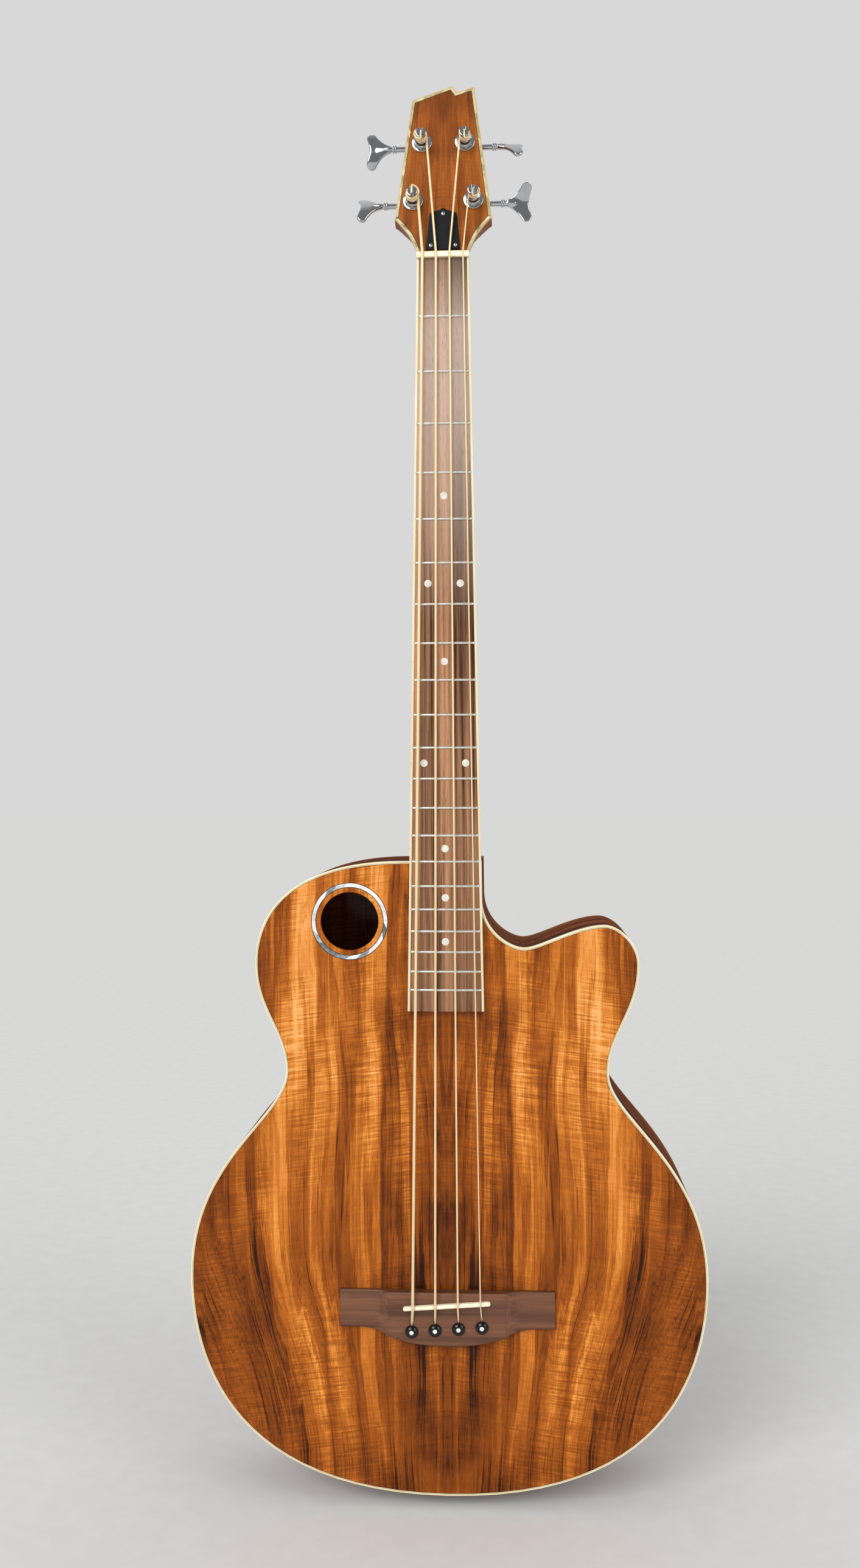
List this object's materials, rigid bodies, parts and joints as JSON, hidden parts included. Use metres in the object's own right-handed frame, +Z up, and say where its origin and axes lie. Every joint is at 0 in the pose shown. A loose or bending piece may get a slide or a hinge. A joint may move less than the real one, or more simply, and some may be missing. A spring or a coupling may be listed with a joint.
{
  "type": "acoustic bass guitar",
  "caption": "Acoustic bass guitar with a rounded cutaway, a small round sound hole set to one side, a pin bridge and geared tuning keys that turn their string posts.",
  "frame": {"origin": "centre of the strap button's outer face at the tail, half way through the body's depth there", "axes": "+Z up the neck along the centre line, +X towards the treble side with the cutaway, -Y out of the soundboard"},
  "size_m": [0.4314, 0.1359, 1.1952],
  "materials": {
    "koa": "gloss lacquer over figured koa",
    "dark_koa": "gloss lacquer over dark stained koa",
    "mahogany": "satin",
    "spruce": "bare, sanded",
    "rosewood": "oiled, low sheen",
    "cream_binding": "gloss",
    "pearl": "gloss, stands in for shell",
    "bone": "satin, bone or a plastic like it",
    "black_plastic": "satin to gloss",
    "chrome": "polished plating",
    "steel": "plain",
    "bronze": "bronze wrap wire"
  },
  "bodies": {
    "instrument": {"soundboard": "koa", "headstock_veneer": "koa", "back_plate": "dark_koa", "side_bass": "dark_koa", "side_treble": "dark_koa", "neck": "mahogany", "neck_block": "mahogany", "tail_block": "mahogany", "top_lining_bass": "mahogany", "top_lining_treble": "mahogany", "back_lining_bass": "mahogany", "back_lining_treble": "mahogany", "x_brace_bass": "spruce", "x_brace_treble": "spruce", "tone_bar": "spruce", "shoulder_brace": "spruce", "back_brace_1": "spruce", "back_brace_2": "spruce", "back_brace_3": "spruce", "bridge": "rosewood", "fingerboard": "rosewood", "bridge_plate": "rosewood", "top_binding": "cream_binding", "back_binding": "cream_binding", "fingerboard_binding_bass": "cream_binding", "fingerboard_binding_treble": "cream_binding", "headstock_binding": "cream_binding", "rosette": "pearl", "nut": "bone", "saddle": "bone", "truss_rod_cover": "black_plastic", "bridge_pin_e": "black_plastic", "bridge_pin_a": "black_plastic", "bridge_pin_d": "black_plastic", "bridge_pin_g": "black_plastic", "strap_button": "chrome", "tuner_bushing_e": "chrome", "tuner_housing_e": "chrome", "tuner_bushing_a": "chrome", "tuner_housing_a": "chrome", "tuner_bushing_d": "chrome", "tuner_housing_d": "chrome", "tuner_bushing_g": "chrome", "tuner_housing_g": "chrome", "truss_rod": "steel", "cover_screw_1": "steel", "cover_screw_2": "steel", "cover_screw_3": "steel", "string_e": "bronze", "string_a": "bronze", "string_d": "bronze", "string_g": "bronze"},
    "key_e": {"tuner_key_e": "chrome"},
    "post_e": {"tuner_post_e": "chrome"},
    "key_a": {"tuner_key_a": "chrome"},
    "post_a": {"tuner_post_a": "chrome"},
    "key_d": {"tuner_key_d": "chrome"},
    "post_d": {"tuner_post_d": "chrome"},
    "key_g": {"tuner_key_g": "chrome"},
    "post_g": {"tuner_post_g": "chrome"}
  },
  "joints": [
    {"name": "key_e_turn", "type": "hinge", "parent": "instrument", "child": "key_e", "pos_m": [-0.0253, -0.03302, 1.09785], "axis": [1, 0, 0], "continuous": true},
    {"name": "post_e_turn", "type": "hinge", "parent": "instrument", "child": "post_e", "pos_m": [-0.0253, -0.05596, 1.09269], "axis": [0, -0.9903, 0.1392], "continuous": true},
    {"name": "key_a_turn", "type": "hinge", "parent": "instrument", "child": "key_a", "pos_m": [-0.0181, -0.02576, 1.14954], "axis": [1, 0, 0], "continuous": true},
    {"name": "post_a_turn", "type": "hinge", "parent": "instrument", "child": "post_a", "pos_m": [-0.0181, -0.0487, 1.14438], "axis": [0, -0.9903, 0.1392], "continuous": true},
    {"name": "key_d_turn", "type": "hinge", "parent": "instrument", "child": "key_d", "pos_m": [0.0181, -0.02576, 1.14954], "axis": [1, 0, 0], "continuous": true},
    {"name": "post_d_turn", "type": "hinge", "parent": "instrument", "child": "post_d", "pos_m": [0.0181, -0.0487, 1.14438], "axis": [0, -0.9903, 0.1392], "continuous": true},
    {"name": "key_g_turn", "type": "hinge", "parent": "instrument", "child": "key_g", "pos_m": [0.0253, -0.03302, 1.09785], "axis": [1, 0, 0], "continuous": true},
    {"name": "post_g_turn", "type": "hinge", "parent": "instrument", "child": "post_g", "pos_m": [0.0253, -0.05596, 1.09269], "axis": [0, -0.9903, 0.1392], "continuous": true}
  ],
  "couplings": [
    {"joint": "post_e_turn", "follows": "key_e_turn", "ratio": 0.055556},
    {"joint": "post_a_turn", "follows": "key_a_turn", "ratio": 0.055556},
    {"joint": "post_d_turn", "follows": "key_d_turn", "ratio": 0.055556},
    {"joint": "post_g_turn", "follows": "key_g_turn", "ratio": 0.055556}
  ]
}
